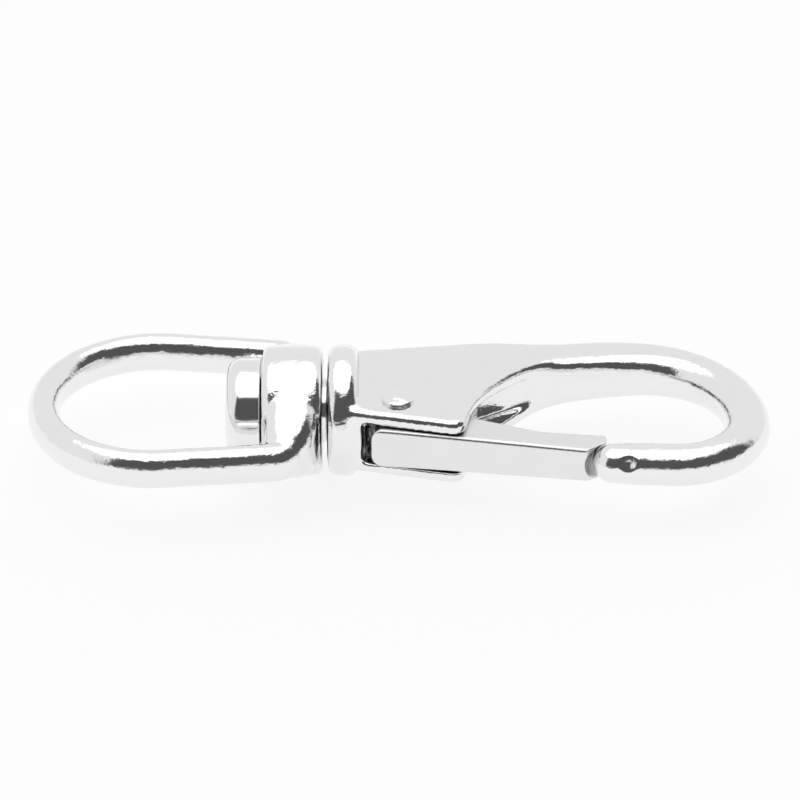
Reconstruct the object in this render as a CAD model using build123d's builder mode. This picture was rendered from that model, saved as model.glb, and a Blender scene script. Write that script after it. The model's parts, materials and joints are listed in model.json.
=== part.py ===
from build123d import *
import os
from math import asin, cos, degrees, radians, sin

# Swivel-eye snap hook in cast stainless steel, lying on its side. Millimetres.
# The origin is on the surface that the hook lies on, under the middle of its length and width.
# +X runs along the swivel axis from the eye to the hook, +Y from the gate to the spine, +Z up.
# Plan positions below are measured from the collar's face, x along the swivel axis, y across it.

os.makedirs("parts", exist_ok=True)

# Swivel: boss of the eye, collar of the hook and the headed pin through both
RIM_RADIUS = 8.9
COLLAR_X = -9.4
COLLAR_LENGTH = 4.1
COLLAR_CROWN = 0.35
COLLAR_EDGE = 1.3
BOSS_GAP = 0.65
BOSS_LENGTH = 8.15
BOSS_EDGE = 1.1
HEAD_GAP = 0.2
HEAD_RADIUS = 6.95
HEAD_LENGTH = 4.9
HEAD_DOME = 0.5
HEAD_EDGE = 2.0
SHANK_RADIUS = 4.3
SHANK_CLEARANCE = 0.08
SPIGOT_RADIUS = 3.1
SPIGOT_LENGTH = 4.4
SPIGOT_END_GAP = 0.05

# Eye bow: oval rod, half a circle continued by two arms that close in on the boss
ROD_HALF_WIDTH = 2.15
ROD_HALF_HEIGHT = 2.7
BOW_CENTRE_X = -23.3
BOW_RADIUS = 15.05
ARM_TURN_X = -4.8
ARM_TURN_Y = 13.1
ARM_TURN_RADIUS = 2.5
ARM_LEAN = 6.3
ARM_END_Y = 9.0
# Lug between each arm and the boss: distance from the swivel axis, x, width, height, corner radius
LUG_SECTIONS = [
    (6.0, -4.75, 7.2, 12.6, 2.4),
    (8.4, -4.75, 7.1, 10.4, 2.4),
    (10.8, -5.0, 6.5, 8.0, 2.4),
    (12.7, -5.1, 4.4, 5.0, 2.0),
]

# Hook body: flat cheeks that run into a rounded spine
PLATE_HALF_HEIGHT = 4.85
PLATE_END_X = 30.7
PLATE_END_HALF_HEIGHT = 3.74
PLATE_END_Y = 6.42
PLATE_START_X = 2.5
PLATE_EDGE = 1.1
PLATE_RIM_END_X = 30.2
RIM_LEAST_HEIGHT = 3.3
CHEEK_CORNER = (18.3, -11.5)
CHEEK_CORNER_RADIUS = 1.8
SLOT_HALF_HEIGHT = 3.1
SLOT_START_X = 4.72
SLOT_DEPTH_Y = 1.2
SLOT_LEVEL_X = 20.2
SLOT_LEVEL_Y = 2.4
SLOT_END_X = 27.65
SLOT_END_Y = 5.5
SLOT_END_HALF_HEIGHT = 2.05

# Bow of the hook: centres and radii of its two arcs, which meet at the apex
FAR_ARC_X = 41.95
FAR_ARC_RADIUS = 14.45
NEAR_ARC_X = 46.5
NEAR_ARC_RADIUS = 9.9
BOW_APEX_Y = -3.5
SPINE_ARC_RADIUS = 41.0
SPINE_ARC = 18.5
NOSE_X = 38.1
NOSE_Y = -13.1
NOSE_RADIUS = 2.65

# Sections of the rod along its centre line: place from 0 to 1, width, height, corner radius
ROD_SECTIONS = [
    (0.0, 6.0, 7.6, 1.2),
    (0.09, 6.4, 7.0, 1.6),
    (0.18, 6.4, 6.6, 2.0),
    (0.32, 6.3, 6.3, 2.5),
    (0.46, 6.2, 6.0, 2.8),
    (0.60, 6.1, 5.8, 2.8),
    (0.74, 5.7, 5.65, 2.75),
    (0.88, 5.65, 5.6, 2.75),
    (1.0, 5.2, 5.2, 2.55),
]

# Gate and its rivet
PIVOT_X = 9.45
PIVOT_Y = -5.1
RIVET_RADIUS = 1.35
RIVET_HEAD_RADIUS = 2.15
RIVET_HEAD_HEIGHT = 0.8
RIVET_HEAD_WALL = 0.45
RIVET_FIT = 0.02
GATE_BORE_CLEARANCE = 0.07
GATE_HALF_HEIGHT = 2.87
GATE_TIP_HALF_HEIGHT = 2.45
GATE_START_X = 6.0
GATE_TIP_X = 37.3
GATE_FRONT_START_Y = -9.65
GATE_FRONT_END_X = 34.5
GATE_FRONT_END_Y = -13.9
GATE_TIP_FRONT_Y = -11.9
GATE_TIP_BACK_Y = -10.0
GATE_TIP_CORNER = 0.8
GATE_EDGE = 0.55
GATE_LONG_EDGE = 15
GATE_TAIL_CORNER = 1.6
# Back of the gate, from the tip to the tail
GATE_BACK = [(30.1, -9.5), (26.5, -8.35), (11.0, -2.75), (9.0, -2.35), (7.0, -2.9), (6.0, -4.6)]
FORK_LENGTH = 8.0
FORK_WIDTH = 6.2
FORK_HALF_HEIGHT = 1.75
NOSE_CLEARANCE = 0.12
SCALLOP_X = 37.6
SCALLOP_Y = -14.4
SCALLOP_RADIUS = 3.3

# Gate spring
WIRE_RADIUS = 0.3
COIL_RADIUS = 1.85
COIL_PITCH = 0.64
COIL_TURNS = 3.147
BODY_LEG_ANGLE = 205
BODY_LEG_LENGTH = 6.5
GATE_LEG_LENGTH = 4.1

# Reach of a cut or a tool that goes right through
THROUGH = 20

AXIS_Z = RIM_RADIUS
MID = Plane(origin=(COLLAR_X, 0, AXIS_Z))
SWIVEL = Axis((COLLAR_X, 0, AXIS_Z), (1, 0, 0))
SIDE = Plane(origin=(COLLAR_X, 0, AXIS_Z), x_dir=(1, 0, 0), z_dir=(0, -1, 0))


def across(x, y, run_x, run_y):
    """Plane across the rod at plan point x, y: its x axis runs sideways and its y axis up."""
    return Plane(
        origin=(COLLAR_X + x, y, AXIS_Z),
        x_dir=(run_y, -run_x, 0),
        z_dir=(run_x, run_y, 0),
    )


def rim_profile(start, end, radius, crown, edge):
    """Half section of a disc about the swivel axis, with a crowned and rounded rim."""
    with BuildSketch(MID, mode=Mode.PRIVATE) as profile:
        with BuildLine():
            rim = ThreePointArc(
                (start, radius - crown), ((start + end) / 2, radius), (end, radius - crown)
            )
            Polyline(rim @ 1, (end, 0), (start, 0), rim @ 0)
        make_face()
        fillet(profile.vertices().group_by(Axis.Y)[-1], radius=edge)
    return profile.sketch


# Space cut for the gate: as wide as the collar allows, and lower towards the throat
with BuildPart() as slot_tool:
    with BuildSketch(MID):
        Polygon(
            (SLOT_START_X, -THROUGH),
            (SLOT_START_X, SLOT_DEPTH_Y),
            (SLOT_LEVEL_X, SLOT_LEVEL_Y),
            (SLOT_END_X, SLOT_END_Y),
            (SLOT_END_X, -THROUGH),
            align=None,
        )
    extrude(amount=SLOT_HALF_HEIGHT, both=True)
    with BuildSketch(SIDE):
        Polygon(
            (SLOT_START_X, SLOT_HALF_HEIGHT),
            (SLOT_LEVEL_X, SLOT_HALF_HEIGHT),
            (SLOT_END_X, SLOT_END_HALF_HEIGHT),
            (SLOT_END_X, -SLOT_END_HALF_HEIGHT),
            (SLOT_LEVEL_X, -SLOT_HALF_HEIGHT),
            (SLOT_START_X, -SLOT_HALF_HEIGHT),
            align=None,
        )
    extrude(amount=THROUGH, both=True, mode=Mode.INTERSECT)

# Hook body: the cheeks and the root of the spine, from the collar to where the rod begins
with BuildPart() as hook_body:
    with BuildSketch(MID) as outline:
        with BuildLine():
            far_edge = Spline(
                (PLATE_START_X, 8.1),
                (16.3, 9.9),
                (24.0, 11.0),
                (PLATE_END_X, 12.52),
                tangents=[(1, 0.12), (1, 0.3)],
            )
            spine_end = Line(far_edge @ 1, (PLATE_END_X, PLATE_END_Y))
            throat = Spline(
                spine_end @ 1,
                (28.1, 5.1),
                (24.0, 1.3),
                (20.2, -4.2),
                CHEEK_CORNER,
                tangents=[(-1, -0.35), (-0.2, -1)],
            )
            Polyline(throat @ 1, (PLATE_START_X, -8.05), far_edge @ 0)
        make_face()
        fillet(outline.vertices().sort_by(Axis.Y)[0], radius=CHEEK_CORNER_RADIUS)
    extrude(amount=PLATE_HALF_HEIGHT, both=True)
    with BuildSketch(SIDE):
        with BuildLine():
            taper = Spline(
                (18.0, PLATE_HALF_HEIGHT),
                (25.0, 4.5),
                (PLATE_END_X + 1, PLATE_END_HALF_HEIGHT),
                tangents=[(1, 0), (1, -0.1)],
            )
            Polyline(taper @ 0, (0, PLATE_HALF_HEIGHT), (0, 0), (PLATE_END_X + 1, 0), taper @ 1)
        make_face()
        mirror(about=Plane.XZ)
    extrude(amount=THROUGH, both=True, mode=Mode.INTERSECT)
    rims = hook_body.edges().filter_by(
        lambda edge: abs(edge.center().Z - AXIS_Z) > RIM_LEAST_HEIGHT
        and COLLAR_X + PLATE_START_X < edge.center().X < COLLAR_X + PLATE_RIM_END_X
    )
    fillet(rims, radius=PLATE_EDGE)

    # Rod: the spine, the bow and the near arm
    with BuildLine(MID, mode=Mode.PRIVATE) as rod_line:
        spine_centre = (FAR_ARC_X, BOW_APEX_Y + FAR_ARC_RADIUS - SPINE_ARC_RADIUS)
        CenterArc(spine_centre, SPINE_ARC_RADIUS, 90 + SPINE_ARC, -SPINE_ARC)
        CenterArc((FAR_ARC_X, BOW_APEX_Y), FAR_ARC_RADIUS, 90, -90)
        near_arc = CenterArc((NEAR_ARC_X, BOW_APEX_Y), NEAR_ARC_RADIUS, 0, -90)
        Line(near_arc @ 1, (NOSE_X, NOSE_Y))
    rod_path = rod_line.wires()[0]
    sections = []
    for place, width, height, corner in ROD_SECTIONS:
        run = rod_path % place
        section_plane = Plane(origin=rod_path @ place, x_dir=(run.Y, -run.X, 0), z_dir=run)
        with BuildSketch(section_plane, mode=Mode.PRIVATE) as section:
            RectangleRounded(width, height, corner)
        sections.append(section.sketch.face())
    sweep(sections, path=rod_path, multisection=True)

    # Nose knob at the end of the near arm
    with Locations(Vector(COLLAR_X + NOSE_X, NOSE_Y, AXIS_Z)):
        Sphere(NOSE_RADIUS)

    # Collar
    revolve(rim_profile(0, COLLAR_LENGTH, RIM_RADIUS, COLLAR_CROWN, COLLAR_EDGE), axis=SWIVEL)

    # Slot between the cheeks, open on the gate's side and in the throat
    add(slot_tool.part, mode=Mode.SUBTRACT)

    # Bores for the swivel pin's spigot and the gate's rivet
    with BuildSketch(Plane(MID.origin, x_dir=(0, 1, 0), z_dir=(1, 0, 0))):
        Circle(SPIGOT_RADIUS)
    extrude(amount=SPIGOT_LENGTH + SPIGOT_END_GAP, mode=Mode.SUBTRACT)
    with BuildSketch(Plane.XY.offset(AXIS_Z)):
        with Locations((COLLAR_X + PIVOT_X, PIVOT_Y)):
            Circle(RIVET_RADIUS + RIVET_FIT)
    extrude(amount=THROUGH, both=True, mode=Mode.SUBTRACT)
hook_body.part.label = "hook_body"
export_step(hook_body.part, "parts/hook_body.step")

# Swivel eye: the bow's oval rod, flared where each arm runs into the boss
with BuildPart() as swivel_eye:
    arm_start_x = BOW_CENTRE_X + BOW_RADIUS * sin(radians(ARM_LEAN))
    arm_start_y = BOW_RADIUS * cos(radians(ARM_LEAN))
    with BuildLine(MID, mode=Mode.PRIVATE) as bow_line:
        bow = CenterArc((BOW_CENTRE_X, 0), BOW_RADIUS, 90 - ARM_LEAN, 180 + 2 * ARM_LEAN)
        for side in (1, -1):
            FilletPolyline(
                (arm_start_x, side * arm_start_y),
                (ARM_TURN_X, side * ARM_TURN_Y),
                (ARM_TURN_X, side * ARM_END_Y),
                radius=ARM_TURN_RADIUS,
            )
    bow_path = bow_line.wires()[0]
    run = bow_path % 0
    with BuildSketch(Plane(origin=bow_path @ 0, x_dir=(run.Y, -run.X, 0), z_dir=run)):
        Ellipse(ROD_HALF_WIDTH, ROD_HALF_HEIGHT)
    sweep(path=bow_path)
    for side in (1, -1):
        for y, x, width, height, corner in LUG_SECTIONS:
            with BuildSketch(across(x, side * y, 0, side)):
                RectangleRounded(width, height, corner)
        loft()
    revolve(
        rim_profile(-BOSS_GAP - BOSS_LENGTH, -BOSS_GAP, RIM_RADIUS, COLLAR_CROWN, BOSS_EDGE),
        axis=SWIVEL,
    )
    with BuildSketch(Plane(MID.origin, x_dir=(0, 1, 0), z_dir=(1, 0, 0))):
        Circle(SHANK_RADIUS + SHANK_CLEARANCE)
    extrude(amount=-THROUGH, mode=Mode.SUBTRACT)
swivel_eye.part.label = "swivel_eye"
export_step(swivel_eye.part, "parts/swivel_eye.step")

# Swivel pin: domed head, shank through the boss and spigot in the collar
HEAD_FACE_X = -BOSS_GAP - BOSS_LENGTH - HEAD_GAP
with BuildPart() as swivel_pin:
    with BuildSketch(MID) as pin_profile:
        with BuildLine():
            dome = ThreePointArc(
                (HEAD_FACE_X - HEAD_LENGTH, 0),
                (HEAD_FACE_X - HEAD_LENGTH + HEAD_DOME / 4, HEAD_RADIUS / 2),
                (HEAD_FACE_X - HEAD_LENGTH + HEAD_DOME, HEAD_RADIUS),
            )
            Polyline(
                dome @ 1,
                (HEAD_FACE_X, HEAD_RADIUS),
                (HEAD_FACE_X, SHANK_RADIUS),
                (0, SHANK_RADIUS),
                (0, SPIGOT_RADIUS),
                (SPIGOT_LENGTH, SPIGOT_RADIUS),
                (SPIGOT_LENGTH, 0),
                dome @ 0,
            )
        make_face()
        head_rim = pin_profile.vertices().group_by(Axis.Y)[-1].sort_by(Axis.X)
        fillet(head_rim[0], radius=HEAD_EDGE)
    revolve(axis=SWIVEL)
swivel_pin.part.label = "swivel_pin"
export_step(swivel_pin.part, "parts/swivel_pin.step")

# Gate: a bar that narrows to its tip, with a wedge-shaped forked tail round the rivet
with BuildPart() as gate:
    with BuildSketch(MID) as gate_outline:
        with BuildLine():
            Polyline(
                GATE_BACK[-1],
                (GATE_START_X, GATE_FRONT_START_Y),
                (GATE_FRONT_END_X, GATE_FRONT_END_Y),
                (GATE_TIP_X, GATE_TIP_FRONT_Y),
                (GATE_TIP_X, GATE_TIP_BACK_Y),
                *GATE_BACK,
            )
        make_face()
        tip_corner = gate_outline.vertices().group_by(Axis.X)[-1].sort_by(Axis.Y)[-1]
        fillet(tip_corner, radius=GATE_TIP_CORNER)
    extrude(amount=GATE_HALF_HEIGHT, both=True)
    with BuildSketch(SIDE):
        Polygon(
            (GATE_START_X, GATE_HALF_HEIGHT),
            (PIVOT_X, GATE_HALF_HEIGHT),
            (GATE_TIP_X, GATE_TIP_HALF_HEIGHT),
            (GATE_TIP_X, -GATE_TIP_HALF_HEIGHT),
            (PIVOT_X, -GATE_HALF_HEIGHT),
            (GATE_START_X, -GATE_HALF_HEIGHT),
            align=None,
        )
    extrude(amount=THROUGH, both=True, mode=Mode.INTERSECT)
    long_edges = gate.edges().filter_by(lambda edge: edge.length > GATE_LONG_EDGE)
    long_edges = long_edges.filter_by(lambda edge: abs(edge.center().Z - AXIS_Z) > GATE_EDGE)
    fillet(long_edges, radius=GATE_EDGE)
    with BuildSketch(SIDE) as tail_side:
        with Locations((GATE_START_X, 0)):
            Rectangle(GATE_TIP_X, 2 * GATE_HALF_HEIGHT, align=(Align.MIN, Align.CENTER))
        fillet(tail_side.vertices().group_by(Axis.X)[0], radius=GATE_TAIL_CORNER)
    extrude(amount=THROUGH, both=True, mode=Mode.INTERSECT)
    # Scallop that takes the nose
    with Locations(Vector(COLLAR_X + NOSE_X, NOSE_Y, AXIS_Z)):
        Sphere(NOSE_RADIUS + NOSE_CLEARANCE, mode=Mode.SUBTRACT)
    with Locations(Vector(COLLAR_X + SCALLOP_X, SCALLOP_Y, AXIS_Z)):
        Sphere(SCALLOP_RADIUS, mode=Mode.SUBTRACT)
    # Fork for the spring, and the bore for the rivet
    with BuildSketch(MID):
        with Locations((PIVOT_X, PIVOT_Y)):
            Rectangle(FORK_LENGTH, FORK_WIDTH)
    extrude(amount=FORK_HALF_HEIGHT, both=True, mode=Mode.SUBTRACT)
    with BuildSketch(MID):
        with Locations((PIVOT_X, PIVOT_Y)):
            Circle(RIVET_RADIUS + GATE_BORE_CLEARANCE)
    extrude(amount=THROUGH, both=True, mode=Mode.SUBTRACT)
gate.part.label = "gate"
export_step(gate.part, "parts/gate.step")

# Rivet through both cheeks, domed at each end
PIVOT = Axis((COLLAR_X + PIVOT_X, PIVOT_Y, AXIS_Z), (0, 0, 1))
dome_rise = RIVET_HEAD_HEIGHT - RIVET_HEAD_WALL
dome_radius = (RIVET_HEAD_RADIUS**2 + dome_rise**2) / (2 * dome_rise)
dome_angle = degrees(asin(RIVET_HEAD_RADIUS / dome_radius))
with BuildPart() as gate_pin:
    with BuildSketch(Plane(PIVOT.position, x_dir=(1, 0, 0), z_dir=(0, -1, 0))):
        with BuildLine():
            dome = CenterArc(
                (0, PLATE_HALF_HEIGHT + RIVET_HEAD_HEIGHT - dome_radius),
                dome_radius,
                90 - dome_angle,
                dome_angle,
            )
            Polyline(
                dome @ 1,
                (0, 0),
                (RIVET_RADIUS, 0),
                (RIVET_RADIUS, PLATE_HALF_HEIGHT),
                (RIVET_HEAD_RADIUS, PLATE_HALF_HEIGHT),
                dome @ 0,
            )
        make_face()
    revolve(axis=PIVOT)
    mirror(about=Plane.XY.offset(AXIS_Z))
gate_pin.part.label = "gate_pin"
export_step(gate_pin.part, "parts/gate_pin.step")

# Torsion spring round the rivet: one leg on the slot's end wall, the other in the gate's fork
coil_place = Location(
    (COLLAR_X + PIVOT_X, PIVOT_Y, AXIS_Z - COIL_PITCH * COIL_TURNS / 2), (0, 0, BODY_LEG_ANGLE)
)
coil = coil_place * Helix(COIL_PITCH, COIL_PITCH * COIL_TURNS, COIL_RADIUS)
with BuildPart() as gate_spring:
    with BuildSketch(Plane(origin=coil @ 0, z_dir=coil % 0)):
        Circle(WIRE_RADIUS)
    sweep(path=coil, is_frenet=True)
    with BuildSketch(Plane(origin=coil @ 0, z_dir=-(coil % 0))):
        Circle(WIRE_RADIUS)
    extrude(amount=BODY_LEG_LENGTH)
    with BuildSketch(Plane(origin=coil @ 1, z_dir=coil % 1)):
        Circle(WIRE_RADIUS)
    extrude(amount=GATE_LEG_LENGTH)
gate_spring.part.label = "gate_spring"
export_step(gate_spring.part, "parts/gate_spring.step")
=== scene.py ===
"""Finish of a swivel eye snap hook in polished cast stainless steel.

The castings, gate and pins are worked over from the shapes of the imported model: remeshed, polished
round at their edges and given the slight waves that hand polishing leaves. The spring is wound here.
"""

import json
import math

import bpy
from mathutils import Matrix, Vector


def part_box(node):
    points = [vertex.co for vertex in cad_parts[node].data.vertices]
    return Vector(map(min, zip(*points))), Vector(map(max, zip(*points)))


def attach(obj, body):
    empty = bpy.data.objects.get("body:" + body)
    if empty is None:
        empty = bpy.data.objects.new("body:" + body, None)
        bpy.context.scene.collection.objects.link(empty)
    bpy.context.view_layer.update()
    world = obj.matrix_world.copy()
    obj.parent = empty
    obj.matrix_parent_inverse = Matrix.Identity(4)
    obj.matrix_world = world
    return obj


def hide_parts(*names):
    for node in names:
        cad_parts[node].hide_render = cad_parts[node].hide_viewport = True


bl_info = {
    "name": "Swivel eye snap hook",
    "version": (1, 0, 0),
    "blender": (4, 5, 0),
    "location": "View3D > Sidebar > Snap hook",
    "description": "Polished castings, gate, pins and spring of a swivel eye snap hook",
    "category": "Object",
}

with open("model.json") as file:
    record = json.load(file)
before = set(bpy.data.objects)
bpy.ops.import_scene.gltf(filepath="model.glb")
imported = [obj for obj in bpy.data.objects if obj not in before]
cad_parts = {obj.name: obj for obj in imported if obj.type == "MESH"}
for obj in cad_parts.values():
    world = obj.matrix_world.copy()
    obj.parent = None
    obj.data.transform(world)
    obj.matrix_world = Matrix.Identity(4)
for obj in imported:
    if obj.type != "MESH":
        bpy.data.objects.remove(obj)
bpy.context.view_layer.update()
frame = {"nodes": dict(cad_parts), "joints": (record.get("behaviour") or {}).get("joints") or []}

MM = 0.001
JOINTS = {joint["name"]: Vector(joint["pos_m"]) / MM for joint in frame["joints"]}
SWIVEL = JOINTS["eye_swivel"]
PIVOT = JOINTS["gate_pivot"]

# Spring: the same winding as the spring that the gate's fork was made for, in millimetres and degrees
WIRE_RADIUS = 0.3
COIL_RADIUS = 1.85
COIL_PITCH = 0.64
COIL_TURNS = 3.147
BODY_LEG_ANGLE = 205
BODY_LEG_LENGTH = 6.5
GATE_LEG_LENGTH = 4.1
COIL_STEPS = 150
WIRE_SIDES = 14

# Places worked on one by one, in millimetres from the collar's face on the swivel axis. Each blend has
# its reach and its smoothing passes
ROD_ROOT = Vector((30.5, 9.4, 0))
ROD_ROOT_BLEND = (9, 130)
COLLAR_CORNER = Vector((3.9, -6.5, 4.6))
COLLAR_CORNER_BLEND = (4.5, 50)
LUG = Vector((-4.6, 9.5, 0))
LUG_BLEND = (7.5, 30)
NOSE_DENT = Vector((40.0, -15.4, 1.3))
NOSE_DENT_REACH = 1.4
NOSE_DENT_DEPTH = 0.45

# Polishing waves of the smaller pieces: length and height, in millimetres
GATE_WAVE = (3.5, 0.03)
STUD_WAVE = (3.0, 0.05)
RIVET_DENT_SIZE = 1.0

MERGE_DISTANCE = 0.002

# Fine relief of each metal, in metres
CASTING_RIPPLE = {"ripple_size": 0.0016, "ripple_depth": 6e-5}
GATE_RELIEF = {"peel_size": 0.00045, "peel_depth": 8e-6, "ripple_size": 0.004, "ripple_depth": 2e-5}
PIN_RELIEF = {"peel_size": 0.0004, "peel_depth": 6e-6, "ripple_size": 0.002, "ripple_depth": 2e-5}
WIRE_RELIEF = {"peel_size": 0.0002, "peel_depth": 4e-6, "ripple_size": 0.002, "ripple_depth": 1e-5}
PEEL_DETAIL = 1.5
RIPPLE_DETAIL = 1.0
SMEARS_PER_METRE = 160
SMEAR_DETAIL = 5
SMEAR_ROUGHNESS = 0.6

# Edges of the studio's dark side and of the softbox overhead, in degrees: from none of it to all of it
DARK_BOTTOM = (5, 9)
DARK_TOP = (61, 56)
DARK_LEFT = (-54, -38)
DARK_RIGHT = (112, 94)
SOFTBOX_EDGE = (52, 58)

SENSOR_WIDTH = 36
CLIP_START = 0.01


# ---------------------------------------------------------------------------------------------
# Settings


class WorkSettings(bpy.types.PropertyGroup):
    """How the pieces are meshed and how far polishing has rounded and waved them."""

    casting_voxel: bpy.props.FloatProperty(
        name="Casting voxel", description="Mesh size of the two castings, in millimetres",
        default=0.24, min=0.1
    )
    casting_rounding: bpy.props.IntProperty(
        name="Casting rounding", description="Smoothing passes over the castings' edges",
        default=7, min=0
    )
    casting_wave_size: bpy.props.FloatProperty(
        name="Wave size", description="Length of the polishing waves on the castings, in millimetres",
        default=2.6
    )
    casting_wave_depth: bpy.props.FloatProperty(
        name="Wave depth", description="Height of the polishing waves on the castings, in millimetres",
        default=0.07
    )
    gate_voxel: bpy.props.FloatProperty(
        name="Gate voxel", description="Mesh size of the gate, in millimetres", default=0.13, min=0.05
    )
    gate_rounding: bpy.props.IntProperty(
        name="Gate rounding", description="Smoothing passes over the gate's edges", default=6, min=0
    )
    pin_voxel: bpy.props.FloatProperty(
        name="Pin voxel", description="Mesh size of the swivel pin, in millimetres",
        default=0.15, min=0.05
    )
    rivet_voxel: bpy.props.FloatProperty(
        name="Rivet voxel", description="Mesh size of the gate's rivet, in millimetres",
        default=0.06, min=0.03
    )
    rivet_dents: bpy.props.FloatProperty(
        name="Rivet dents", description="Depth of the hammer marks on the rivet's heads, in millimetres",
        default=0.22
    )


class FinishSettings(bpy.types.PropertyGroup):
    """Colours and roughness of the metals."""

    casting_colour: bpy.props.FloatVectorProperty(
        name="Casting colour", description="Reflection colour of the polished castings",
        subtype="COLOR", size=3, default=(0.90, 0.90, 0.905), min=0, max=1,
    )
    casting_roughness: bpy.props.FloatProperty(
        name="Casting roughness", description="Roughness of the polished castings",
        default=0.11, min=0, max=1
    )
    peel_size: bpy.props.FloatProperty(
        name="Peel size", description="Size of the castings' fine orange peel",
        default=0.00034, unit="LENGTH"
    )
    peel_depth: bpy.props.FloatProperty(
        name="Peel depth", description="Depth of the castings' fine orange peel",
        default=0.000026, unit="LENGTH"
    )
    gate_colour: bpy.props.FloatVectorProperty(
        name="Gate colour", description="Reflection colour of the satin gate",
        subtype="COLOR", size=3, default=(0.86, 0.86, 0.865), min=0, max=1,
    )
    gate_roughness: bpy.props.FloatProperty(
        name="Gate roughness", description="Roughness of the satin gate", default=0.26, min=0, max=1
    )
    pin_colour: bpy.props.FloatVectorProperty(
        name="Pin colour", description="Reflection colour of the two pins",
        subtype="COLOR", size=3, default=(0.90, 0.90, 0.90), min=0, max=1,
    )
    pin_roughness: bpy.props.FloatProperty(
        name="Pin roughness", description="Roughness of the two pins", default=0.1, min=0, max=1
    )
    wire_colour: bpy.props.FloatVectorProperty(
        name="Wire colour", description="Reflection colour of the spring wire",
        subtype="COLOR", size=3, default=(0.62, 0.61, 0.6), min=0, max=1,
    )
    wire_roughness: bpy.props.FloatProperty(
        name="Wire roughness", description="Roughness of the drawn spring wire",
        default=0.3, min=0, max=1
    )


class StageSettings(bpy.types.PropertyGroup):
    """Floor, studio light and camera."""

    camera_elevation: bpy.props.FloatProperty(
        name="Camera elevation", description="Angle of the camera above the floor",
        subtype="ANGLE", default=math.radians(31.8),
    )
    camera_azimuth: bpy.props.FloatProperty(
        name="Camera azimuth", description="Angle of the camera round the object",
        subtype="ANGLE", default=math.radians(0.5),
    )
    camera_distance: bpy.props.FloatProperty(
        name="Camera distance", description="Distance from the camera to the swivel axis",
        unit="LENGTH", default=0.69,
    )
    lens: bpy.props.FloatProperty(
        name="Lens", description="Focal length on a sensor 36 mm wide", default=230.1, unit="CAMERA"
    )
    shift_x: bpy.props.FloatProperty(
        name="Shift X", description="Sideways shift of the frame", default=0.003
    )
    shift_y: bpy.props.FloatProperty(
        name="Shift Y", description="Upward shift of the frame", default=0.013
    )
    floor_size: bpy.props.FloatProperty(
        name="Floor size", description="Side of the square floor", default=6.0, unit="LENGTH"
    )
    floor_grey: bpy.props.FloatProperty(
        name="Floor grey", description="How much of the light the floor throws back onto the metal",
        default=0.18
    )
    floor_glow: bpy.props.FloatProperty(
        name="Floor glow", description="Brightness of the floor to the camera and in the metal",
        default=0.84
    )
    sky_level: bpy.props.FloatProperty(
        name="Sky level", description="Brightness of the pale studio walls", default=0.87
    )
    top_level: bpy.props.FloatProperty(
        name="Top level", description="Brightness of the wide softbox overhead", default=1.35
    )
    dark_level: bpy.props.FloatProperty(
        name="Dark level", description="Brightness of the dark side of the studio, in front",
        default=0.09
    )


class SnapHookSettings(bpy.types.PropertyGroup):
    """All settings of the snap hook."""

    work: bpy.props.PointerProperty(type=WorkSettings)
    finish: bpy.props.PointerProperty(type=FinishSettings)
    stage: bpy.props.PointerProperty(type=StageSettings)


# ---------------------------------------------------------------------------------------------
# Modelling helpers


def alone(obj):
    """Makes obj the only selected object, and the active one."""
    bpy.ops.object.select_all(action="DESELECT")
    obj.select_set(True)
    bpy.context.view_layer.objects.active = obj


def apply_modifier(obj, kind, **values):
    """Adds a modifier with these values and applies it."""
    modifier = obj.modifiers.new(kind.title(), kind)
    for key, value in values.items():
        setattr(modifier, key, value)
    bpy.ops.object.modifier_apply(modifier=modifier.name)


def rough_copy(node, name):
    """A merged copy of a node's mesh in a new object, in millimetres while it is worked on."""
    mesh = frame["nodes"][node].data.copy()
    mesh.name = name
    mesh.materials.clear()
    mesh.transform(Matrix.Scale(1 / MM, 4))
    obj = bpy.data.objects.new(name, mesh)
    bpy.context.scene.collection.objects.link(obj)
    alone(obj)
    bpy.ops.object.mode_set(mode="EDIT")
    bpy.ops.mesh.select_all(action="SELECT")
    bpy.ops.mesh.remove_doubles(threshold=MERGE_DISTANCE)
    bpy.ops.object.mode_set(mode="OBJECT")
    return obj


def polish(obj, voxel, rounding):
    """Remeshes the piece evenly and rounds its edges as polishing does."""
    apply_modifier(obj, "REMESH", mode="VOXEL", voxel_size=voxel, use_smooth_shade=True)
    apply_modifier(obj, "SMOOTH", factor=0.5, iterations=rounding)


def blend_round(obj, centre, reach, passes):
    """Smooths the piece further round a point, fading out at reach, where two shapes flow together."""
    group = obj.vertex_groups.new(name="blend")
    for vertex in obj.data.vertices:
        share = 1 - (vertex.co - centre).length / reach
        if share > 0:
            group.add([vertex.index], min(1, 2 * share), "REPLACE")
    apply_modifier(obj, "SMOOTH", factor=0.5, iterations=passes, vertex_group=group.name)
    obj.vertex_groups.clear()


def dent(obj, centre, reach, depth):
    """Presses a soft hollow into the surface round a point on it."""
    group = obj.vertex_groups.new(name="dent")
    for vertex in obj.data.vertices:
        share = 1 - (vertex.co - centre).length / reach
        if share > 0:
            group.add([vertex.index], share * share * (3 - 2 * share), "REPLACE")
    apply_modifier(obj, "DISPLACE", strength=-depth, mid_level=0, vertex_group=group.name)
    obj.vertex_groups.clear()


def wave(obj, size, depth):
    """Moves the surface in and out in smooth waves of this size and depth."""
    texture = bpy.data.textures.new(obj.name + "_waves", "CLOUDS")
    texture.noise_scale = size
    texture.noise_depth = 1
    apply_modifier(
        obj, "DISPLACE", texture=texture, texture_coords="LOCAL", strength=depth, mid_level=0.5
    )
    bpy.data.textures.remove(texture)


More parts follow.
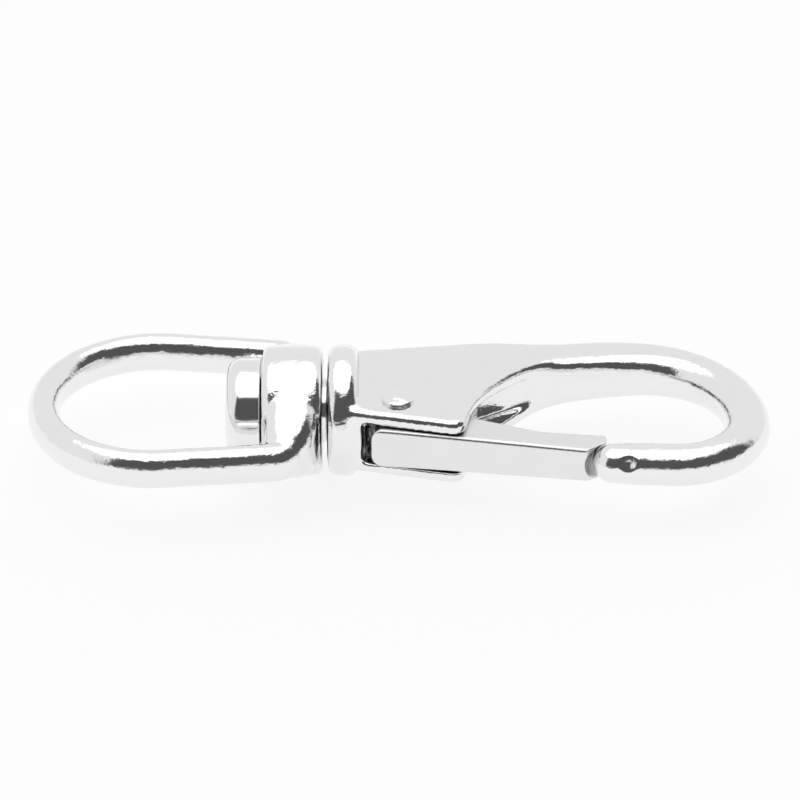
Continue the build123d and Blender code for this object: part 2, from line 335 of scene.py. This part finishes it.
def finish_piece(obj, material, body, slot, *nodes):
    """Puts a worked piece back in metres, gives it its material and hangs it on its body."""
    obj.data.transform(Matrix.Scale(MM, 4))
    obj.data.materials.append(material)
    alone(obj)
    bpy.ops.object.shade_smooth()
    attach(obj, body)
    if nodes:
        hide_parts(*nodes)


# ---------------------------------------------------------------------------------------------
# Materials


def link_pairs(tree, *pairs):
    """Links the output socket to the input socket of each pair."""
    for source, target in pairs:
        tree.links.new(source, target)


def math_node(tree, operation, first, second):
    """A Math node on two values, each a socket or a number. Returns its output."""
    node = tree.nodes.new("ShaderNodeMath")
    node.operation = operation
    for socket, value in zip(node.inputs, (first, second)):
        if isinstance(value, (int, float)):
            socket.default_value = value
        else:
            tree.links.new(value, socket)
    return node.outputs[0]


def noise(tree, vector, scale, detail, roughness=0.5):
    """A noise texture whose scale is a socket or a number. Returns its value."""
    node = tree.nodes.new("ShaderNodeTexNoise")
    node.inputs["Detail"].default_value = detail
    node.inputs["Roughness"].default_value = roughness
    tree.links.new(vector, node.inputs["Vector"])
    if isinstance(scale, (int, float)):
        node.inputs["Scale"].default_value = scale
    else:
        tree.links.new(scale, node.inputs["Scale"])
    return node.outputs["Fac"]


def hand_polish_group():
    """Orange peel, soft ripples and faint smears: what polishing leaves on stainless steel."""
    found = bpy.data.node_groups.get("hand_polish")
    if found:
        return found
    group = bpy.data.node_groups.new("hand_polish", "ShaderNodeTree")
    for name, value in (
        ("Peel Size", 0.0003),
        ("Peel Depth", 0.00001),
        ("Ripple Size", 0.003),
        ("Ripple Depth", 0.00002),
        ("Roughness", 0.12),
        ("Roughness Spread", 0.05),
        ("Smear", 0.05),
    ):
        socket = group.interface.new_socket(name, in_out="INPUT", socket_type="NodeSocketFloat")
        socket.default_value = value
    group.interface.new_socket("Colour", in_out="INPUT", socket_type="NodeSocketColor")
    group.interface.new_socket("Vector", in_out="INPUT", socket_type="NodeSocketVector")
    group.interface.new_socket("Colour", in_out="OUTPUT", socket_type="NodeSocketColor")
    group.interface.new_socket("Roughness", in_out="OUTPUT", socket_type="NodeSocketFloat")
    group.interface.new_socket("Height", in_out="OUTPUT", socket_type="NodeSocketFloat")
    given = group.nodes.new("NodeGroupInput").outputs
    result = group.nodes.new("NodeGroupOutput").inputs
    place = given["Vector"]
    peel = noise(group, place, math_node(group, "DIVIDE", 1, given["Peel Size"]), PEEL_DETAIL)
    ripple = noise(group, place, math_node(group, "DIVIDE", 1, given["Ripple Size"]), RIPPLE_DETAIL)
    smear = noise(group, place, SMEARS_PER_METRE, SMEAR_DETAIL, SMEAR_ROUGHNESS)
    height = math_node(
        group, "ADD",
        math_node(group, "MULTIPLY", peel, given["Peel Depth"]),
        math_node(group, "MULTIPLY", ripple, given["Ripple Depth"]),
    )
    smear_swing = math_node(group, "SUBTRACT", smear, 0.5)
    spread = math_node(group, "MULTIPLY", smear_swing, given["Roughness Spread"])
    roughness = math_node(group, "ADD", given["Roughness"], spread)
    dimming = math_node(group, "SUBTRACT", 1, math_node(group, "MULTIPLY", smear, given["Smear"]))
    tint = group.nodes.new("ShaderNodeVectorMath")
    tint.operation = "SCALE"
    link_pairs(
        group,
        (given["Colour"], tint.inputs[0]),
        (dimming, tint.inputs["Scale"]),
        (tint.outputs[0], result["Colour"]),
        (roughness, result["Roughness"]),
        (height, result["Height"]),
    )
    return group


def steel(name, colour, roughness, **values):
    """Stainless steel with the hand_polish group set to these values."""
    material = bpy.data.materials.new(name)
    material.use_nodes = True
    tree = material.node_tree
    shader = tree.nodes["Principled BSDF"]
    shader.inputs["Metallic"].default_value = 1
    place = tree.nodes.new("ShaderNodeTexCoord")
    polish_node = tree.nodes.new("ShaderNodeGroup")
    polish_node.node_tree = hand_polish_group()
    polish_node.inputs["Colour"].default_value = (*colour, 1)
    polish_node.inputs["Roughness"].default_value = roughness
    for key, value in values.items():
        polish_node.inputs[key.replace("_", " ").title()].default_value = value
    bump = tree.nodes.new("ShaderNodeBump")
    bump.inputs["Distance"].default_value = 1
    link_pairs(
        tree,
        (place.outputs["Object"], polish_node.inputs["Vector"]),
        (polish_node.outputs["Colour"], shader.inputs["Base Color"]),
        (polish_node.outputs["Roughness"], shader.inputs["Roughness"]),
        (polish_node.outputs["Height"], bump.inputs["Height"]),
        (bump.outputs["Normal"], shader.inputs["Normal"]),
    )
    return material


def casting_steel():
    """Mirror polish over a cast surface, shared by the two castings."""
    finish = bpy.context.scene.snap_hook.finish
    return bpy.data.materials.get("mirror_cast_steel") or steel(
        "mirror_cast_steel", finish.casting_colour, finish.casting_roughness,
        peel_size=finish.peel_size, peel_depth=finish.peel_depth, **CASTING_RIPPLE,
    )


def pin_steel():
    """Turned and polished steel, shared by the two pins."""
    finish = bpy.context.scene.snap_hook.finish
    return bpy.data.materials.get("mirror_turned_steel") or steel(
        "mirror_turned_steel", finish.pin_colour, finish.pin_roughness, **PIN_RELIEF
    )


# ---------------------------------------------------------------------------------------------
# Pieces


class SNAPHOOK_OT_hook_casting(bpy.types.Operator):
    """Makes the hook's casting: collar, cheeks, spine, bow and nose"""

    bl_idname = "snaphook.hook_casting"
    bl_label = "Hook casting"

    def execute(self, context):
        work = context.scene.snap_hook.work
        hook = rough_copy("hook_body", "hook_casting")
        polish(hook, work.casting_voxel, work.casting_rounding)
        collar = Vector((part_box("hook_body")[0].x / MM, 0, SWIVEL.z))
        blend_round(hook, collar + ROD_ROOT, *ROD_ROOT_BLEND)
        for side in (1, -1):
            corner = Vector((COLLAR_CORNER.x, COLLAR_CORNER.y, side * COLLAR_CORNER.z))
            blend_round(hook, collar + corner, *COLLAR_CORNER_BLEND)
        dent(hook, collar + NOSE_DENT, NOSE_DENT_REACH, NOSE_DENT_DEPTH)
        wave(hook, work.casting_wave_size, work.casting_wave_depth)
        finish_piece(hook, casting_steel(), "hook", "polished_casting", "hook_body")
        return {"FINISHED"}


class SNAPHOOK_OT_eye_casting(bpy.types.Operator):
    """Makes the eye's casting: the oval bow and the boss that turns on the pin"""

    bl_idname = "snaphook.eye_casting"
    bl_label = "Eye casting"

    def execute(self, context):
        work = context.scene.snap_hook.work
        eye = rough_copy("swivel_eye", "eye_casting")
        polish(eye, work.casting_voxel, work.casting_rounding)
        for side in (1, -1):
            blend_round(eye, SWIVEL + Vector((LUG.x, side * LUG.y, LUG.z)), *LUG_BLEND)
        wave(eye, work.casting_wave_size, work.casting_wave_depth)
        finish_piece(eye, casting_steel(), "eye", "polished_casting", "swivel_eye")
        return {"FINISHED"}


class SNAPHOOK_OT_gate_bar(bpy.types.Operator):
    """Makes the satin gate with its forked tail and scalloped tip"""

    bl_idname = "snaphook.gate_bar"
    bl_label = "Gate bar"

    def execute(self, context):
        work = context.scene.snap_hook.work
        finish = context.scene.snap_hook.finish
        bar = rough_copy("gate", "gate_bar")
        polish(bar, work.gate_voxel, work.gate_rounding)
        wave(bar, *GATE_WAVE)
        satin = steel("satin_steel", finish.gate_colour, finish.gate_roughness, **GATE_RELIEF)
        finish_piece(bar, satin, "gate", "satin_gate", "gate")
        return {"FINISHED"}


class SNAPHOOK_OT_swivel_stud(bpy.types.Operator):
    """Makes the headed stud that the eye turns on"""

    bl_idname = "snaphook.swivel_stud"
    bl_label = "Swivel stud"

    def execute(self, context):
        work = context.scene.snap_hook.work
        stud = rough_copy("swivel_pin", "swivel_stud")
        polish(stud, work.pin_voxel, work.casting_rounding)
        wave(stud, *STUD_WAVE)
        finish_piece(stud, pin_steel(), "hook", "polished_pin", "swivel_pin")
        return {"FINISHED"}


class SNAPHOOK_OT_gate_rivet(bpy.types.Operator):
    """Makes the gate's rivet with its hammered heads"""

    bl_idname = "snaphook.gate_rivet"
    bl_label = "Gate rivet"

    def execute(self, context):
        work = context.scene.snap_hook.work
        rivet = rough_copy("gate_pin", "gate_rivet")
        polish(rivet, work.rivet_voxel, work.casting_rounding)
        wave(rivet, RIVET_DENT_SIZE, work.rivet_dents)
        finish_piece(rivet, pin_steel(), "hook", "polished_pin", "gate_pin")
        return {"FINISHED"}


def wire_leg(name, start, direction, length):
    """A straight round leg of spring wire with a slightly rounded end, in millimetres."""
    run = Vector(direction).normalized()
    bpy.ops.object.select_all(action="DESELECT")
    bpy.ops.mesh.primitive_cylinder_add(
        vertices=WIRE_SIDES, radius=WIRE_RADIUS, depth=length,
        location=start + run * length / 2, rotation=run.to_track_quat("Z", "Y").to_euler(),
    )
    leg = bpy.context.object
    leg.name = name
    bpy.ops.object.transform_apply(location=True, rotation=True, scale=True)
    apply_modifier(leg, "BEVEL", width=WIRE_RADIUS / 3, segments=2, limit_method="ANGLE")
    return leg


class SNAPHOOK_OT_gate_spring(bpy.types.Operator):
    """Winds the torsion spring: coil and body leg on the hook, gate leg on the gate"""

    bl_idname = "snaphook.gate_spring"
    bl_label = "Gate spring"

    def execute(self, context):
        finish = context.scene.snap_hook.finish
        height = COIL_PITCH * COIL_TURNS
        first = math.radians(BODY_LEG_ANGLE)
        last = first + COIL_TURNS * math.tau
        bpy.ops.object.select_all(action="DESELECT")
        bpy.ops.mesh.primitive_circle_add(
            vertices=WIRE_SIDES, radius=WIRE_RADIUS, fill_type="NGON",
            location=(COIL_RADIUS, 0, 0), rotation=(math.pi / 2, 0, 0),
        )
        coil = context.object
        coil.name = "spring_coil"
        bpy.ops.object.transform_apply(location=True, rotation=True, scale=True)
        apply_modifier(
            coil, "SCREW", angle=COIL_TURNS * math.tau, screw_offset=height,
            steps=COIL_STEPS, render_steps=COIL_STEPS, use_normal_calculate=True,
        )
        place = Matrix.Translation(PIVOT - Vector((0, 0, height / 2)))
        coil.data.transform(place @ Matrix.Rotation(first, 4, "Z"))
        ends = [
            place @ Vector((COIL_RADIUS * math.cos(angle), COIL_RADIUS * math.sin(angle), rise))
            for angle, rise in ((first, 0), (last, height))
        ]
        body_leg = wire_leg(
            "spring_body_leg", ends[0], (math.sin(first), -math.cos(first), 0), BODY_LEG_LENGTH
        )
        gate_leg = wire_leg(
            "spring_gate_leg", ends[1], (-math.sin(last), math.cos(last), 0), GATE_LEG_LENGTH
        )
        alone(coil)
        body_leg.select_set(True)
        bpy.ops.object.join()
        wire = steel("drawn_wire", finish.wire_colour, finish.wire_roughness, **WIRE_RELIEF)
        finish_piece(coil, wire, "hook", "spring_wire", "gate_spring")
        finish_piece(gate_leg, wire, "gate", "spring_wire")
        return {"FINISHED"}


# ---------------------------------------------------------------------------------------------
# Stage


def fade(tree, angle, start, end):
    """Goes smoothly from 0 to 1 as the angle goes from start to end, in degrees. Returns its socket."""
    node = tree.nodes.new("ShaderNodeMapRange")
    node.interpolation_type = "SMOOTHSTEP"
    node.inputs["From Min"].default_value = math.radians(start)
    node.inputs["From Max"].default_value = math.radians(end)
    tree.links.new(angle, node.inputs["Value"])
    return node.outputs["Result"]


def studio_world(stage):
    """Pale walls, a wide white softbox overhead and a dark side in front, fixed in space."""
    world = bpy.data.worlds.new("studio")
    bpy.context.scene.world = world
    world.use_nodes = True
    tree = world.node_tree
    tree.nodes.clear()
    place = tree.nodes.new("ShaderNodeTexCoord")
    split = tree.nodes.new("ShaderNodeSeparateXYZ")
    tree.links.new(place.outputs["Generated"], split.inputs[0])
    elevation = math_node(tree, "ARCSINE", split.outputs["Z"], 0)
    ahead = math_node(tree, "MULTIPLY", split.outputs["Y"], -1)
    azimuth = math_node(tree, "ARCTAN2", split.outputs["X"], ahead)
    dark_height = math_node(
        tree, "MULTIPLY", fade(tree, elevation, *DARK_BOTTOM), fade(tree, elevation, *DARK_TOP)
    )
    dark_width = math_node(
        tree, "MULTIPLY", fade(tree, azimuth, *DARK_LEFT), fade(tree, azimuth, *DARK_RIGHT)
    )
    dark = math_node(tree, "MULTIPLY", dark_height, dark_width)
    top = fade(tree, elevation, *SOFTBOX_EDGE)
    lift = math_node(tree, "MULTIPLY", top, stage.top_level - stage.sky_level)
    pale = math_node(tree, "ADD", stage.sky_level, lift)
    drop = math_node(tree, "MULTIPLY", dark, math_node(tree, "SUBTRACT", pale, stage.dark_level))
    level = math_node(tree, "SUBTRACT", pale, drop)
    room = tree.nodes.new("ShaderNodeBackground")
    room.inputs["Color"].default_value = (1, 1, 1, 1)
    tree.links.new(level, room.inputs["Strength"])
    white = tree.nodes.new("ShaderNodeBackground")
    white.inputs["Color"].default_value = (1, 1, 1, 1)
    white.inputs["Strength"].default_value = 1
    path = tree.nodes.new("ShaderNodeLightPath")
    mix = tree.nodes.new("ShaderNodeMixShader")
    output = tree.nodes.new("ShaderNodeOutputWorld")
    link_pairs(
        tree,
        (path.outputs["Is Camera Ray"], mix.inputs[0]),
        (room.outputs[0], mix.inputs[1]),
        (white.outputs[0], mix.inputs[2]),
        (mix.outputs[0], output.inputs["Surface"]),
    )


def white_floor(stage):
    """A white floor that keeps a faint shadow. It shows white to the camera and in the metal."""
    bpy.ops.object.select_all(action="DESELECT")
    bpy.ops.mesh.primitive_plane_add(size=stage.floor_size, location=(0, 0, 0))
    floor = bpy.context.object
    floor.name = "floor"
    material = bpy.data.materials.new("white_floor")
    material.use_nodes = True
    tree = material.node_tree
    tree.nodes.clear()
    path = tree.nodes.new("ShaderNodeLightPath")
    seen = math_node(
        tree, "MAXIMUM",
        math_node(tree, "MAXIMUM", path.outputs["Is Camera Ray"], path.outputs["Is Glossy Ray"]),
        path.outputs["Is Transmission Ray"],
    )
    paint = tree.nodes.new("ShaderNodeBsdfDiffuse")
    paint.inputs["Color"].default_value = (stage.floor_grey, stage.floor_grey, stage.floor_grey, 1)
    glow = tree.nodes.new("ShaderNodeEmission")
    tree.links.new(math_node(tree, "MULTIPLY", seen, stage.floor_glow), glow.inputs["Strength"])
    both = tree.nodes.new("ShaderNodeAddShader")
    output = tree.nodes.new("ShaderNodeOutputMaterial")
    link_pairs(
        tree,
        (paint.outputs[0], both.inputs[0]),
        (glow.outputs[0], both.inputs[1]),
        (both.outputs[0], output.inputs["Surface"]),
    )
    floor.data.materials.append(material)


def long_lens_camera(stage):
    """A long lens that looks down on the hook from the gate's side."""
    target = Vector((0, 0, SWIVEL.z * MM))
    back = Vector((
        math.sin(stage.camera_azimuth) * math.cos(stage.camera_elevation),
        -math.cos(stage.camera_azimuth) * math.cos(stage.camera_elevation),
        math.sin(stage.camera_elevation),
    ))
    data = bpy.data.cameras.new("camera")
    data.lens = stage.lens
    data.sensor_width = SENSOR_WIDTH
    data.shift_x = stage.shift_x
    data.shift_y = stage.shift_y
    data.clip_start = CLIP_START
    camera = bpy.data.objects.new("camera", data)
    bpy.context.scene.collection.objects.link(camera)
    camera.location = target + back * stage.camera_distance
    camera.rotation_euler = (-back).to_track_quat("-Z", "Y").to_euler()
    bpy.context.scene.camera = camera


class SNAPHOOK_OT_stage(bpy.types.Operator):
    """Sets the white floor, the studio light and the camera"""

    bl_idname = "snaphook.stage"
    bl_label = "Stage"

    def execute(self, context):
        stage = context.scene.snap_hook.stage
        context.scene.view_settings.view_transform = "Standard"
        studio_world(stage)
        white_floor(stage)
        long_lens_camera(stage)
        return {"FINISHED"}


# ---------------------------------------------------------------------------------------------
# Add-on


class SNAPHOOK_PT_panel(bpy.types.Panel):
    """Lists the pieces of the snap hook and their settings"""

    bl_idname = "SNAPHOOK_PT_panel"
    bl_label = "Snap hook"
    bl_space_type = "VIEW_3D"
    bl_region_type = "UI"
    bl_category = "Snap hook"

    def draw(self, context):
        layout = self.layout
        for operator in OPERATORS:
            layout.operator(operator.bl_idname)
        settings = context.scene.snap_hook
        for group in (settings.work, settings.finish, settings.stage):
            box = layout.box()
            for name in group.__annotations__:
                box.prop(group, name)


OPERATORS = (
    SNAPHOOK_OT_hook_casting,
    SNAPHOOK_OT_eye_casting,
    SNAPHOOK_OT_gate_bar,
    SNAPHOOK_OT_swivel_stud,
    SNAPHOOK_OT_gate_rivet,
    SNAPHOOK_OT_gate_spring,
    SNAPHOOK_OT_stage,
)
CLASSES = (WorkSettings, FinishSettings, StageSettings, SnapHookSettings, *OPERATORS, SNAPHOOK_PT_panel)


def register():
    for cls in CLASSES:
        bpy.utils.register_class(cls)
    bpy.types.Scene.snap_hook = bpy.props.PointerProperty(type=SnapHookSettings)


def unregister():
    del bpy.types.Scene.snap_hook
    for cls in reversed(CLASSES):
        bpy.utils.unregister_class(cls)


def main():
    """Builds every piece and the stage."""
    register()
    bpy.ops.snaphook.hook_casting()
    bpy.ops.snaphook.eye_casting()
    bpy.ops.snaphook.gate_bar()
    bpy.ops.snaphook.swivel_stud()
    bpy.ops.snaphook.gate_rivet()
    bpy.ops.snaphook.gate_spring()
    bpy.ops.snaphook.stage()


if __name__ == "__main__":
    main()
